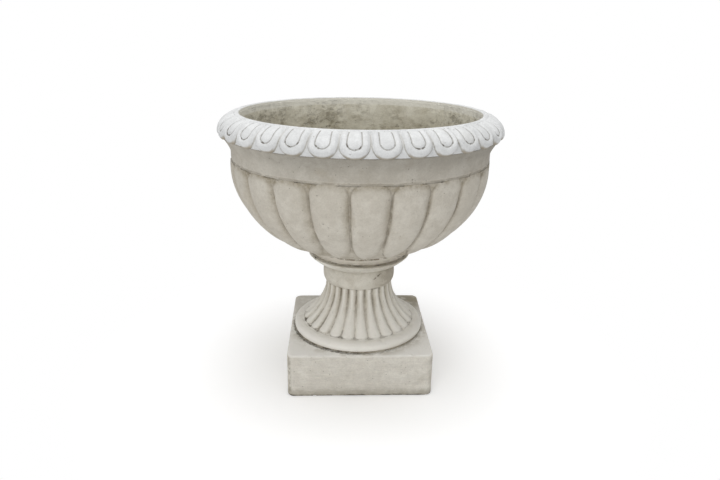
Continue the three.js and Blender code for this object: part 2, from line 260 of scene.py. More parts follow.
def math_node(operation, swapped=False):
    """A function that works on a value, and on a second one or a number if the operation takes two."""

    def work(value, *others):
        items = (*others, value) if swapped else (value, *others)
        return add_node(value.tree, "ShaderNodeMath", dict(enumerate(items)), operation=operation)

    return work


for sign, operation in {"add": "ADD", "sub": "SUBTRACT", "mul": "MULTIPLY", "truediv": "DIVIDE"}.items():
    setattr(Value, f"__{sign}__", math_node(operation))
    setattr(Value, f"__r{sign}__", math_node(operation, swapped=True))
Value.__pow__ = math_node("POWER")
Value.__abs__ = math_node("ABSOLUTE")
Value.__floor__ = math_node("FLOOR")
Value.__gt__ = math_node("GREATER_THAN")
Value.__lt__ = math_node("LESS_THAN")
sine = math_node("SINE")
cosine = math_node("COSINE")
tangent = math_node("TANGENT")
root = math_node("SQRT")
highest = math_node("MAXIMUM")
lowest = math_node("MINIMUM")


def held(value):
    return lowest(highest(value, 0), 1)


def ramp(value, start, end):
    """0 at start and 1 at end, with smooth ends."""
    inputs = {"Value": value, "From Min": start, "From Max": end}
    return add_node(value.tree, "ShaderNodeMapRange", inputs, interpolation_type="SMOOTHSTEP")


def choose(test, if_true, if_false):
    inputs = {"Factor": test, "A": if_false, "B": if_true}
    return add_node(test.tree, "ShaderNodeMix", inputs, data_type="FLOAT")


def blend(share, first, second):
    """The first colour where share is 0 and the second where it is 1."""
    return add_node(share.tree, "ShaderNodeMix", {0: share, 6: first, 7: second}, 2, data_type="RGBA")


def vector_of(x, y, z):
    return add_node(x.tree, "ShaderNodeCombineXYZ", {0: x, 1: y, 2: z})


def parts_of(vector):
    x = add_node(vector.tree, "ShaderNodeSeparateXYZ", {0: vector})
    return x, x.beside(1), x.beside(2)


def times(vector, value):
    inputs = {"Vector": vector, "Scale": value}
    return add_node(vector.tree, "ShaderNodeVectorMath", inputs, operation="SCALE")


def noise(here, size, detail, roughness, shift):
    """Soft noise from 0 to 1 whose blots are about size across. Another shift gives another pattern."""
    inputs = {"Vector": here, "W": shift, "Scale": 1 / size, "Detail": detail, "Roughness": roughness}
    return add_node(here.tree, "ShaderNodeTexNoise", inputs, noise_dimensions="4D")


def new_group(name, kind, inputs, outputs):
    """An empty node group. An input is given by its kind, or by the number that it is when not set."""
    tree = bpy.data.node_groups.new(name, kind)
    kinds = {int: "Int", float: "Float"}
    for label, item in inputs.items():
        socket_type = "NodeSocket" + kinds.get(type(item), item)
        socket = tree.interface.new_socket(label, in_out="INPUT", socket_type=socket_type)
        if type(item) in kinds:
            socket.default_value = item
    for label, item in outputs.items():
        tree.interface.new_socket(label, in_out="OUTPUT", socket_type="NodeSocket" + item)
    sockets = tree.nodes.new("NodeGroupInput").outputs
    start = {label: Value(tree, sockets[label]) for label in inputs}
    return tree, start, tree.nodes.new("NodeGroupOutput").inputs


# Turned pieces: the tree that turns an outline about Z. Each point of the outline carries the
# values that its ring of points follows. Pads are the gadroons, reeds and tongues.
ring_values = (
    "corner", "pad_count", "pad_turn", "pad_share", "pad_round", "pad_along", "pad_arch", "pad_depth",
    "pad_shoulder", "pad_lean", "field_along", "gather", "tongue", "thread", "wear", "white", "soil",
    "inner",
)
ring_defaults = dict.fromkeys(("pad_count", "pad_share", "pad_round", "pad_along", "pad_shoulder"), 1.0)
far_inside = 20 * mm


def pad_distance(across, half_pitch, share, rounding, along):
    """How far a point lies inside a pad with rounded ends. It is below zero outside the pad."""
    side = half_pitch * (share - across)
    beside = highest(rounding - side, 0)
    beyond = highest(rounding - along, 0)
    return rounding - root(beside ** 2 + beyond ** 2)


def turned_tree():
    inputs = {
        "Geometry": "Geometry", "Steps": 64, "Sides": 4, "Side Turn": 0.0, "Turn": 0.0,
        "Border Width": tongue_border_width, "Line Depth": tongue_line_depth,
        "Field Depth": tongue_field_depth, "Wander": 0.0, "Wave Depth": 0.0, "Grain Depth": 0.0,
        "Chip Depth": 0.0, "Thread Pitch": 1.0, "Thread Depth": 0.0, "Seed": 0.0, "Material": "Material",
    }
    tree, start, end = new_group("turned piece", "GeometryNodeTree", inputs, {"Geometry": "Geometry"})
    outline = start["Geometry"]

    def add(kind, inputs={}, **settings):
        return add_node(tree, "GeometryNode" + kind, inputs, **settings)

    def change(last, kind, inputs={}, **settings):
        return add(kind, {"Geometry": last, **inputs}, **settings)

    rows = add("AttributeDomainSize", {"Geometry": outline})
    index = add("InputIndex")
    column = math.floor(index / rows)
    line = index - column * rows

    def from_outline(name, kind="FLOAT"):
        found = add("InputNamedAttribute", {"Name": name}, data_type=kind)
        return change(outline, "SampleIndex", {"Value": found, "Index": line}, data_type=kind)

    ring = {name: from_outline(name) for name in ring_values}
    radius, _, height = parts_of(from_outline("place", "FLOAT_VECTOR"))
    out_x, _, out_z = parts_of(from_outline("outward", "FLOAT_VECTOR"))

    # a closed tube of faces, one ring of points for each step round the axis
    path = add("CurvePrimitiveCircle", {"Resolution": start["Steps"]})
    profile = add("CurvePrimitiveCircle", {"Resolution": rows})
    last = add("FlipFaces", {"Mesh": add("CurveToMesh", {"Curve": path, "Profile Curve": profile})})

    # steps gather towards the valleys between pads
    even = column / start["Steps"] * full_turn + start["Turn"]
    pads = ring["pad_count"]
    angle = even - ring["gather"] / pads * sine((even - ring["pad_turn"]) * pads)

    # reach of a round or many-sided ring with rounded corners
    half_side = math.pi / start["Sides"]
    around = (angle - start["Side Turn"]) / (half_side * 2) + 0.5
    off_middle = abs(around - math.floor(around) - 0.5) * half_side * 2
    straight = radius - ring["corner"]
    corner_reach = straight / cosine(half_side)
    off_corner = half_side - off_middle
    under = ring["corner"] ** 2 - (corner_reach * sine(off_corner)) ** 2
    rounded = corner_reach * cosine(off_corner) + root(highest(under, 0))
    on_flat = radius * tangent(off_middle) < straight * tangent(half_side)
    reach = choose(on_flat, radius / cosine(off_middle), rounded)
    place = vector_of(reach * cosine(angle), reach * sine(angle), height)

    # relief of gadroons, reeds and tongues
    seed = start["Seed"]
    wander = (noise(place, 0.04, 1.0, 0.5, seed) - 0.5) * start["Wander"] * 2
    turns = (angle - ring["pad_turn"]) / full_turn * pads
    flank = (turns - math.floor(turns)) * 2 - 1
    across = abs(flank)
    half_pitch = radius / pads * math.pi
    along = ring["pad_along"] - ring["pad_arch"] * across ** 2
    inside = pad_distance(across, half_pitch, ring["pad_share"], ring["pad_round"], along) + wander
    shoulder = 1 - held(inside / (ring["pad_shoulder"] * (1 + flank * ring["pad_lean"])))
    swell = root(highest(1 - shoulder ** pad_roundness, 0))
    plain_relief = (swell - 1) * ring["pad_depth"] - ring["pad_depth"] * pad_crown * across ** 2
    border = start["Border Width"]
    line_depth = start["Line Depth"]
    field_round = ring["pad_round"] - border
    in_share = ring["pad_share"] - border / half_pitch
    in_field = pad_distance(across, half_pitch, in_share, field_round, ring["field_along"]) + wander
    over_border = held(inside / highest(inside - in_field, 0.1 * mm))
    border_swell = sine(over_border * math.pi) ** 0.7
    border_ground = choose(over_border < 0.5, ring["pad_depth"], line_depth)
    field_share = held(in_field / tongue_field_slope)
    field = (line_depth - start["Field Depth"]) * root(field_share) - line_depth
    tongue_relief = choose(in_field > 0, field, (border_swell - 1) * border_ground)
    relief = choose(ring["tongue"], tongue_relief, plain_relief)

    # a screw thread runs once round the axis for each pitch
    climb = height / start["Thread Pitch"] - angle / full_turn
    crest = abs((climb - math.floor(climb)) * 2 - 1)
    raised = relief + (crest - 1) * start["Thread Depth"] * ring["thread"]
    moved_reach = reach + raised * out_x
    shaped = vector_of(moved_reach * cosine(angle), moved_reach * sine(angle), height + raised * out_z)
    last = change(last, "SetPosition", {"Position": shaped})

    # what the materials read: how far a point lies inside its gadroon, reed or tongue, on which
    # flank of it, and how far inside the incised line of its tongue. The wear is read below.
    kept = {
        "edge_distance": choose(ring["pad_depth"] > 0, inside, far_inside), "flank": flank,
        "line_distance": choose(ring["tongue"], in_field, -far_inside), "white": ring["white"],
        "soil": ring["soil"], "inner": ring["inner"], "wear_here": ring["wear"],
    }
    for name, value in kept.items():
        inputs = {"Name": name, "Value": value}
        last = change(last, "StoreNamedAttribute", inputs, data_type="FLOAT", domain="POINT")

    # wear: shallow waves, grain and chipped edges, all of them inwards
    here = add("InputPosition")
    edge = add("InputNamedAttribute", {"Name": "wear_here"}, data_type="FLOAT")
    wave = noise(here, 0.07, 2.0, 0.5, seed) * start["Wave Depth"]
    grain = noise(here, 0.006, 2.0, 0.6, seed) * start["Grain Depth"]
    chips = ramp(noise(here, 0.011, 3.0, 0.6, seed), 0.56, 0.72) * edge * start["Chip Depth"]
    last = change(last, "SetPosition", {"Offset": times(add("InputNormal"), -(wave + grain + chips))})
    last = change(last, "MergeByDistance", {"Distance": 0.001 * mm})

    # a pole leaves one edge without faces
    last = change(last, "DeleteGeometry", {"Selection": add("InputMeshEdgeNeighbors") < 0.5}, domain="EDGE")
    last = change(change(last, "SetShadeSmooth"), "RealizeInstances")
    feed(change(last, "SetMaterial", {"Material": start["Material"]}), end["Geometry"])
    return tree


class Outline:
    """The closed outline of a turned piece: up the outside and down the inside."""

    def __init__(self):
        self.points = []
        self.values = []

    def to(self, radius, height, **values):
        self.points.append((radius, height))
        self.values.append({**ring_defaults, "corner": radius, **values})

    def line(self, *points, **values):
        for radius, height in points:
            self.to(radius, height, **values)

    def along(self, curve, shares, **values):
        """Points at shares of a curve. A value may be a function of the share too."""
        for share in shares:
            found = {key: item(share) if callable(item) else item for key, item in values.items()}
            self.to(*curve(share), **found)

    def outward(self, k):
        """The way that point k faces: its lean below level if it has one, or square to its neighbours."""
        lean = self.values[k].get("lean")
        if lean is not None:
            return (math.cos(lean), 0.0, -math.sin(lean))
        before = self.points[k - 1]
        after = self.points[(k + 1) % len(self.points)]
        run = after[0] - before[0]
        rise = after[1] - before[1]
        length = math.hypot(run, rise)
        return (rise / length, 0.0, -run / length)


def even_shares(count, first=0.0, last=1.0):
    return [first + (last - first) * k / (count - 1) for k in range(count)]


def quarter(share, curve=1.0):
    """A place on a quarter of a rounded corner, which runs from (1, 0) to (0, 1)."""
    angle = share * full_turn / 4
    return math.cos(angle) ** curve, math.sin(angle) ** curve


def lengths_along(points):
    total = [0.0]
    for before, after in zip(points, points[1:]):
        total.append(total[-1] + math.dist(before, after))
    return total


def in_scene(name, data):
    thing = bpy.data.objects.new(name, data)
    bpy.context.scene.collection.objects.link(thing)
    return thing


def turned_piece(name, outline, slot, replaced, side=0.0, **settings):
    """Turns an outline with the tree, and dresses a node with the plain mesh. side moves it along X."""
    places = [(radius, 0.0, height) for radius, height in outline.points]
    mesh = bpy.data.meshes.new(name + "_outline")
    mesh.from_pydata(places, [], [])
    for key in ring_values:
        found = [values.get(key, 0.0) for values in outline.values]
        mesh.attributes.new(key, "FLOAT", "POINT").data.foreach_set("value", found)
    outwards = [outline.outward(k) for k in range(len(places))]
    for key, vectors in (("place", places), ("outward", outwards)):
        parts = [part for vector in vectors for part in vector]
        mesh.attributes.new(key, "FLOAT_VECTOR", "POINT").data.foreach_set("vector", parts)
    maker = in_scene(name + "_outline", mesh)
    modifier = maker.modifiers.new("turned", "NODES")
    modifier.node_group = turning
    given = {key.replace("_", " ").title(): item for key, item in settings.items()}
    given["Material"] = materials[slot]
    for item in turning.interface.items_tree:
        if item.in_out == "INPUT" and item.name in given:
            modifier[item.identifier] = given[item.name]
    graph = bpy.context.evaluated_depsgraph_get()
    made = bpy.data.meshes.new_from_object(maker.evaluated_get(graph))
    bpy.data.objects.remove(maker)
    made.name = name
    made.transform(Matrix.Translation((side, 0, 0)))
    piece = in_scene(name, made)
    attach(piece, "root")
    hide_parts(replaced)


# Bowl
def body_point(share):
    """share runs from 0 at the lower ends of the gadroons to 1 at the crease above them."""
    height = lobes_bottom + (crease - lobes_bottom) * share
    below_widest = 1 - min((height - lobes_bottom) / (lobes_widest - lobes_bottom), 1)
    drop = lobe_body_drop * below_widest
    return lobe_radius * math.sqrt(1 - drop ** lobe_body_curve), height


def rim_point(bend):
    """bend runs from 0 at the lip's crest to 1 at the widest part of the rim."""
    up, out = quarter(bend, rim_curve)
    return lip_radius + (rim_radius - lip_radius) * out, bowl_top - rim_drop * (1 - up)


def hollow_point(share):
    """share runs from 0 at the foot of the upright wall to 1 at the edge of the flat floor."""
    out, down = quarter(share, hollow_curve)
    shoulder = bowl_top - hollow_shoulder
    return floor_radius + (wall_radius - floor_radius) * out, shoulder - (shoulder - hollow_floor) * down


def lobe_rows(outline):
    end_share = (bowl_base + lobe_end_height - lobes_bottom) / (crease - lobes_bottom)
    shares = [*even_shares(14, end_share, 0.175), *even_shares(13, 0.215, 0.86), *even_shares(11, 0.885, 1)]
    points = [body_point(share) for share in shares]
    distances = lengths_along(points)
    length = distances[-1]
    # the ground that the gadroons stand on runs down to the neck
    foot_radius = neck_radius + 1 * mm
    ground_depth = lobe_depth * 0.5
    ground_radius = points[0][0] - ground_depth * 0.5
    ground_height = points[0][1] + ground_depth * 0.86
    for share in (0.08, 0.2, 0.4, 0.6, 0.8, 0.95):
        radius = foot_radius + (ground_radius - foot_radius) * share
        height = neck_top + (ground_height - neck_top) * share
        outline.to(radius, height, soil=max(1.2 - 5 * share, 0))
    for (radius, height), distance in zip(points, distances):
        half_width = math.pi * radius / lobe_count * lobe_width_share
        in_top_half = distance > length / 2
        near_top = max(1 - (length - distance) / lobe_top_length, 0)
        grown = 0.6 + 0.4 * min(distance / lobe_growth_length, 1)
        from_end = length - distance + 1.2 * mm if in_top_half else distance * half_width / lobe_end_length
        outline.to(
            radius, height, pad_count=lobe_count, pad_turn=bowl_turn, pad_share=lobe_width_share,
            pad_round=lobe_top_round if in_top_half else half_width, pad_along=from_end,
            pad_arch=lobe_top_arch if in_top_half else 0.0,
            pad_depth=lobe_depth * (1 + radius / lobe_radius) / 2 * (1 - 0.65 * near_top) * grown,
            pad_shoulder=lobe_shoulder * (1 - 0.5 * near_top), pad_lean=lobe_lean, gather=0.55, wear=0.35,
        )


def rim_rows(outline):
    """Top surface of the tongues, from under their tips up to the plain band beside the lip."""
    edge_radius = rim_radius - rim_undercut
    tip_lean = tip_leans[-1]
    under = []
    for lean in tip_leans[:-1]:
        reach = tongue_depth * (math.cos(lean) - math.cos(tip_lean))
        under.append((edge_radius + reach, rim_edge - tongue_depth * (math.sin(lean) - math.sin(tip_lean))))
    face = []
    for share in even_shares(7, 0, 0.86):
        rise = bowl_top - rim_drop - rim_edge
        face.append((rim_radius - rim_undercut * (1 - share) ** 2, rim_edge + rise * share))
    over = [rim_point(bend) for bend in (*even_shares(11, 1, 0.52), *even_shares(5, 0.44, 0.14))]
    points = [*under, *face, *over]
    leans = tip_leans + [None] * (len(points) - len(tip_leans))
    distances = lengths_along(points)
    edge_length = distances[len(under)]
    for (radius, height), distance, lean in zip(points, distances, leans):
        half_width = math.pi * radius / tongue_count * tongue_width_share
        from_tip = distance - edge_length + tongue_overlap
        outline.to(
            radius, height, pad_count=tongue_count, pad_turn=tongue_turn, pad_share=tongue_width_share,
            pad_round=half_width, pad_along=from_tip * half_width / tongue_tip_length,
            field_along=from_tip - tongue_border_at_tip, pad_depth=tongue_depth, pad_shoulder=half_width,
            tongue=1.0, white=min(distance / edge_length, 1), wear=0.3, lean=lean,
        )
    radius, height = rim_point(0.125)
    outline.to(radius, height - 1.2 * mm, white=1, soil=0.35)
    outline.along(rim_point, (0.105, 0.06), white=1, wear=0.3)


def bowl_outline():
    outline = Outline()
    outline.line((tube_hole_radius, bowl_base), (neck_radius + neck_fillet - 0.4 * mm, bowl_base))
    for share in (0, 0.25, 0.55, 1):
        reach = neck_fillet * (1 - share) ** 1.8
        height = bowl_base + neck_height * (0.06 + 0.5 * share)
        outline.to(neck_radius + reach, height, soil=0.6 * (1 - share))
    for reach, drop, soil in ((0, 3.2, 0), (0.1, 2.6, 1.1), (0.7, 0, 1.2)):
        outline.to(neck_radius + reach * mm, neck_top - drop * mm, soil=soil)
    lobe_rows(outline)
    band_foot = crease + 0.6 * mm
    for inset, rise, soil in ((1.9, 0, 0.5), (1.1, 0.7, 0.2), (0.3, 1.8, 0), (0, 3.4, 0)):
        outline.to(band_radius - inset * mm, band_foot + rise * mm, soil=soil)
    cove_reach = rim_radius - rim_undercut - tongue_depth - band_radius
    cove_bottom = rim_edge - cove_height
    outline.along(
        lambda share: (band_radius + cove_reach * share ** 1.35, cove_bottom + cove_height * share),
        (0, 0.12, 0.26, 0.42, 0.58, 0.74, 0.88, 0.93),
    )
    rim_rows(outline)
    outline.to(lip_radius, bowl_top, white=1, wear=0.4)
    for bend in (0.25, 0.5, 0.75, 1):
        up, inwards = quarter(bend)
        radius = lip_radius - lip_round * inwards
        outline.to(radius, bowl_top - lip_round * (1 - up), white=1, wear=0.4, inner=bend)
    outline.to(lip_radius - lip_round - 0.6 * mm, bowl_top - 7 * mm, inner=1)
    outline.to(wall_radius + pale_wall_flare, pale_wall_bottom, inner=1)
    outline.line(*[(wall_radius, pale_wall_bottom - drop * mm) for drop in (8, 22, 36, 50)], inner=1)
    outline.along(hollow_point, even_shares(17), inner=1)
    for share in (0.3, 0.6, 0.97):
        outline.to(floor_radius + (sump_radius - floor_radius) * share, hollow_floor, inner=1)
    sump = ((sump_radius, hollow_floor - 1 * mm), (sump_radius, sump_floor), (tube_hole_radius, sump_floor))
    outline.line(*sump, inner=1)
    return outline


# Pedestal
def reed_point(share):
    radius = waist_radius + (reed_foot_radius - waist_radius) * (1 - share) ** waist_curve
    return radius, reeds_bottom + (ring_bottom - reeds_bottom) * share


def reed_rows(outline):
    points = [reed_point(share) for share in (*even_shares(10, 0, 0.12), *even_shares(20, 0.15, 1))]
    for (radius, height), distance in zip(points, lengths_along(points)):
        half_width = math.pi * radius / reed_count * reed_width_share
        grown = 0.4 + 0.6 * min(distance / (18 * mm), 1)
        outline.to(
            radius, height, pad_count=reed_count, pad_turn=pedestal_turn, pad_share=reed_width_share,
            pad_round=half_width, pad_along=distance * half_width / reed_end_length,
            pad_depth=reed_depth_share * full_turn * radius / reed_count * grown, pad_shoulder=half_width,
            gather=0.35, wear=0.35,
        )


def moulding_point(share):
    out, up = quarter(share)
    height = pedestal_base + moulding_widest + (moulding_height - moulding_widest) * up
    return moulding_radius - moulding_depth * (1 - out), height


def pedestal_outline():
    outline = Outline()
    step_radius = moulding_radius - moulding_step_depth
    foot_round = 0.5 * mm
    outline.line((tube_hole_radius, pedestal_base), (step_radius - foot_round, pedestal_base))
    outline.to(step_radius, pedestal_base + foot_round, wear=1, soil=0.5)
    for share in (0.35, 0.7):
        radius = moulding_radius - moulding_step_depth * (1 - share) ** 2
        outline.to(radius, pedestal_base + moulding_widest * share, wear=1.2)
    outline.along(moulding_point, even_shares(12), wear=lambda share: 0.9 + 0.6 * share)
    reed_rows(outline)
    outline.to(ring_radius - ring_swell - 1 * mm, ring_bottom + 0.1 * mm, soil=0.8)
    widest = 0.45
    for share in (0.01, 0.05, 0.12, 0.22, 0.34, 0.46, 0.58, 0.7, 0.8, 0.89, 0.96):
        off_middle = (share - widest) / (widest if share < widest else 0.53)
        radius = ring_radius - ring_swell * abs(off_middle) ** 2.6
        outline.to(radius, ring_bottom + ring_height * share, wear=0.4)
    root_radius = ring_radius - ring_swell * 1.4
    outline.to(root_radius, collar_bottom, soil=0.5)
    for height_share, reach_share in (
        (0.05, 0.1), (0.13, 0.22), (0.24, 0.37), (0.36, 0.5), (0.5, 0.64), (0.62, 0.76), (0.74, 0.87),
        (0.84, 0.95), (0.9, 0.985), (0.94, 0.97), (0.97, 0.935),
    ):
        radius = root_radius + (collar_radius - root_radius) * reach_share ** 0.75
        outline.to(radius, collar_bottom + collar_height * height_share, wear=0.5)
    outline.to(collar_radius - 3.5 * mm, pedestal_top - 0.15 * mm, wear=0.3)
    ledge = {collar_radius - 5 * mm: 0, collar_radius - 7 * mm: 0.4, neck_radius: 0.7, tube_hole_radius: 0}
    for radius, soil in ledge.items():
        outline.to(radius, pedestal_top, soil=soil)
    return outline


def plinth_outline():
    """The block's rings have four sides, with a round recess below and a hole for the tube."""
    outline = Outline()
    outline.to(recess_radius, plinth_low.z)
    for share in (0.3, 0.6, 0.85):
        radius = recess_radius + (plinth_half - recess_radius) * share
        outline.to(radius, plinth_low.z, corner=radius + (plinth_corner_radius - radius) * share)
    for bend in even_shares(6):
        across, up = quarter(bend)
        inset = plinth_foot_round * (1 - up)
        rise = plinth_foot_round * (1 - across)
        outline.to(plinth_half - inset, rise, corner=plinth_corner_radius - inset, wear=1, soil=0.5)
    for share in even_shares(32, 0.03, 0.97):
        height = plinth_edge_round + (plinth_top - 2 * plinth_edge_round) * share
        outline.to(plinth_half, height, corner=plinth_corner_radius, wear=0.35)
    for bend in even_shares(6):
        across, up = quarter(bend)
        inset = plinth_edge_round * (1 - across)
        height = plinth_top - plinth_edge_round * (1 - up)
        outline.to(plinth_half - inset, height, corner=plinth_corner_radius - inset, wear=1)
    for share in even_shares(30, 0.04, 1):
        inset = plinth_edge_round + (plinth_half - plinth_edge_round - tube_hole_radius) * share
        radius = plinth_half - inset
        corner = plinth_corner_radius + (radius - plinth_corner_radius) * min(share * 1.6, 1)
        outline.to(radius, plinth_top, corner=min(corner, radius), soil=0.2, wear=0.2)
    outline.line((tube_hole_radius, recess_roof), (recess_radius, recess_roof))
    return outline


# Hardware and mortar
def thread_heights(low, high):
    """Heights of a threaded stretch, four to each turn of the thread."""
    count = max(round((high - low) / tube_thread_pitch * 4), 2)
    return even_shares(count, low, high)


def upright(outline, radius, heights, **values):
    outline.line(*[(radius, height) for height in heights], **values)


def tube_outline():
    outline = Outline()
    low_thread = tube_bottom + tube_thread_length
    high_thread = tube_top - tube_thread_length
    outline.line((tube_bore_radius, tube_bottom), (tube_radius - chamfer, tube_bottom))
    upright(outline, tube_radius, thread_heights(tube_bottom + chamfer, low_thread), thread=1)
    outline.to(tube_radius, low_thread + chamfer)
    length = tube_top - tube_bottom
    upright(outline, tube_radius, [tube_bottom + length * share for share in even_shares(5, 0.2, 0.8)])
    outline.to(tube_radius, high_thread - chamfer)
    upright(outline, tube_radius, thread_heights(high_thread, tube_top - chamfer), thread=1)
    outline.line((tube_radius - chamfer, tube_top), (tube_bore_radius, tube_top))
    upright(outline, tube_bore_radius, [tube_bottom + length * share for share in even_shares(5, 0.9, 0.1)])
    return outline


def nut_outline(low, high):
    """A six-sided nut whose corners are cut off by a cone at both ends."""
    outline = Outline()
    rows = ((0.8 * mm, 0, 1), (0, 0.4 * mm, 1), (0, 1.2 * mm, 0.6), (0, 2.4 * mm, 0.05))
    sides = [(nut_flat_radius - cut, low + inset, share) for cut, inset, share in rows]
    sides.append((nut_flat_radius, (low + high) / 2, 0.05))
    sides += [(nut_flat_radius - cut, high - inset, share) for cut, inset, share in reversed(rows)]
    for radius, height, round_share in sides:
        outline.to(radius, height, corner=radius * round_share)
    bore = tube_radius + thread_gap
    outline.to(bore + chamfer, high)
    upright(outline, bore, reversed(thread_heights(low + chamfer, high - chamfer)), thread=1)
    outline.to(bore + chamfer, low)
    return outline


def ring_outline(outer, low, high, rounding, bulge=0.0):
    """A flat ring round the tube with rounded edges, as a washer or a seal is."""
    outline = Outline()
    inner = tube_radius + thread_gap
    middle = (inner + outer) / 2
    outline.line((inner, low + rounding), (inner + rounding, low), (middle, low))
    outline.line((outer - rounding - bulge, low), (outer - bulge, low + rounding), (outer, (low + high) / 2))
    outline.line((outer - bulge, high - rounding), (outer - rounding - bulge, high), (middle, high))
    outline.line((inner + rounding, high), (inner, high - rounding))
    return outline


def pin_outline(radius, low, high):
    """A plain pin with chamfered ends, closed at its poles."""
    outline = Outline()
    outline.line((0, low), (radius - chamfer, low), (radius, low + chamfer))
    upright(outline, radius, [low + (high - low) * share for share in even_shares(4, 0.2, 0.8)])
    outline.line((radius, high - chamfer), (radius - chamfer, high), (0, high))
    return outline


def bed_outline(radius, low, high, spill):
    """A mortar bed whose outer edge spills out over the casting below it."""
    outline = Outline()
    inner = tube_hole_radius + bed_gap
    inside = [tube_hole_radius + (radius - tube_hole_radius) * share for share in (0.4, 0.8)]
    outline.line((inner, low), *[(reach, low) for reach in inside])
    for spill_share, rise_share, wear in ((1, 0, 1), (0.97, 0.35, 1), (0.92, 0.7, 1), (0.86, 1, 0.5)):
        outline.to(radius + spill * spill_share, low + (high - low) * rise_share, wear=wear, soil=1)
    outline.line(*[(reach, high) for reach in reversed(inside)], (inner, high))
    return outline


# Surfaces
# Colours of dirt, which also carry painted shade in the gadroons' valleys and at the plinth's foot
dirt_and_shade_color = (150, 140, 120)
dark_dirt_and_shade_color = (84, 76, 62)
dirt_labels = ("Distance", "Strip Distance", "Line Width", "Strip Width", "Seed")
materials = {}


class Surface:
    """Works out a colour over a surface. It is painted in layers, from the lowest up."""

    def __init__(self, here, color=None):
        self.here = here
        self.color = color

    def noise(self, size, detail, roughness, shift, level=1):
        """Noise over the surface, in level streaks where level is above 1 and upright ones below."""
        here = self.here
        if level != 1:
            inputs = {0: here, 1: (1, 1, level)}
            here = add_node(here.tree, "ShaderNodeVectorMath", inputs, operation="MULTIPLY")
        return noise(here, size, detail, roughness, shift)

    def patches(self, size, detail, roughness, shift, start, end):
        """1 in ragged patches and 0 between them."""
        return ramp(self.noise(size, detail, roughness, shift), start, end)

    def cells(self, spacing):
        """A pattern of cells: how far the nearest one's middle is, and three values of its own."""
        inputs = {"Vector": self.here, "Scale": 1 / spacing}
        distance = add_node(self.here.tree, "ShaderNodeTexVoronoi", inputs)
        return distance * spacing, parts_of(distance.beside("Color"))

    def attribute(self, name):
        return add_node(self.here.tree, "ShaderNodeAttribute", output="Fac", attribute_name=name)

    def facing(self):
        """How far the surface faces up, from -1 to 1."""
        return parts_of(add_node(self.here.tree, "ShaderNodeNewGeometry", output="Normal"))[2]

    def paint(self, share, color):
        self.color = blend(share, self.color, color)

    def shade(self, share):
        self.color = times(self.color, share)

    def cast(self, base, pale, stain, pits, seed):
        """Starts the colour off as cast stone, and gives back its height in millimetres."""
        inputs = {"Vector": self.here, "Base": base, "Pale": pale, "Stain": stain, "Pits": pits, "Seed": seed}
        self.color = add_node(self.here.tree, "ShaderNodeGroup", inputs, node_tree=cast_stone)
        return self.color.beside("Height")

    def dirt(self, *items):
        """Where the line and the strip of dirt along an edge lie; on the gadroons they hold painted shade
        too. The items are in the labels' order.
        """
        inputs = {"Vector": self.here, **dict(zip(dirt_labels, items))}
        line = add_node(self.here.tree, "ShaderNodeGroup", inputs, node_tree=dirt_and_shade_along)
        return line, line.beside("Strip")

    def finish(self, relief, **inputs):
        """Joins the colour, a bump from a height in millimetres and other inputs to the shader."""
        tree = self.here.tree
        inputs["Base Color"] = self.color
        inputs["Normal"] = add_node(tree, "ShaderNodeBump", {"Distance": mm, "Height": relief})
        for name, item in inputs.items():
            feed(item, tree.nodes["Principled BSDF"].inputs[name])


def new_surface(slot, name, roughness=0.9, metallic=0.0, specular=0.3):
    """Makes the material of a slot, and gives back its surface, which is still to be painted."""
    material = bpy.data.materials.new(name)
    material.use_nodes = True
    materials[slot] = material
    tree = material.node_tree
    shader = tree.nodes["Principled BSDF"].inputs
    shader["Roughness"].default_value = roughness
    shader["Metallic"].default_value = metallic
    shader["Specular IOR Level"].default_value = specular
    return Surface(add_node(tree, "ShaderNodeTexCoord", output="Object"))


def cast_stone_group():
    """Uneven colour of cast stone, with grains, pinholes and stains. Height is in millimetres."""
    colors = dict.fromkeys(("Base", "Pale", "Stain"), "Color")
    inputs = {"Vector": "Vector", **colors, "Pits": "Float", "Seed": "Float"}
    outputs = {"Color": "Color", "Height": "Float"}
    tree, start, end = new_group("cast stone", "ShaderNodeTree", inputs, outputs)
    stone = Surface(start["Vector"], start["Base"])
    seed = start["Seed"]
    clouds = stone.noise(0.07, 3.0, 0.55, seed)
    mottle = stone.noise(0.014, 4.0, 0.6, seed + 4)
    grain = stone.noise(0.0022, 3.0, 0.65, seed + 9)
    stone.paint(ramp(mottle + clouds, 0.86, 1.2) * 0.75, start["Pale"])
    stone.paint(stone.patches(0.04, 4.0, 0.62, seed + 13, 0.53, 0.72) * 0.5, start["Stain"])
    stone.shade(1 + (grain - 0.5) * 0.36 + (mottle - 0.5) * 0.2)
    # round pits up to 1 mm in radius, in the share of the cells that Pits says
    distance, (size, chosen, _) = stone.cells(7 * mm)
    reach = (0.5 + 0.5 * size) * (1 * mm)
    pits = (1 - ramp(distance, reach * 0.5, reach)) * (chosen < start["Pits"])
    stone.paint(pits * 0.6, (112, 104, 90))
    feed(stone.color, end["Color"])
    feed(grain * 0.6 + mottle * 1.6 - pits * 0.9, end["Height"])
    return tree


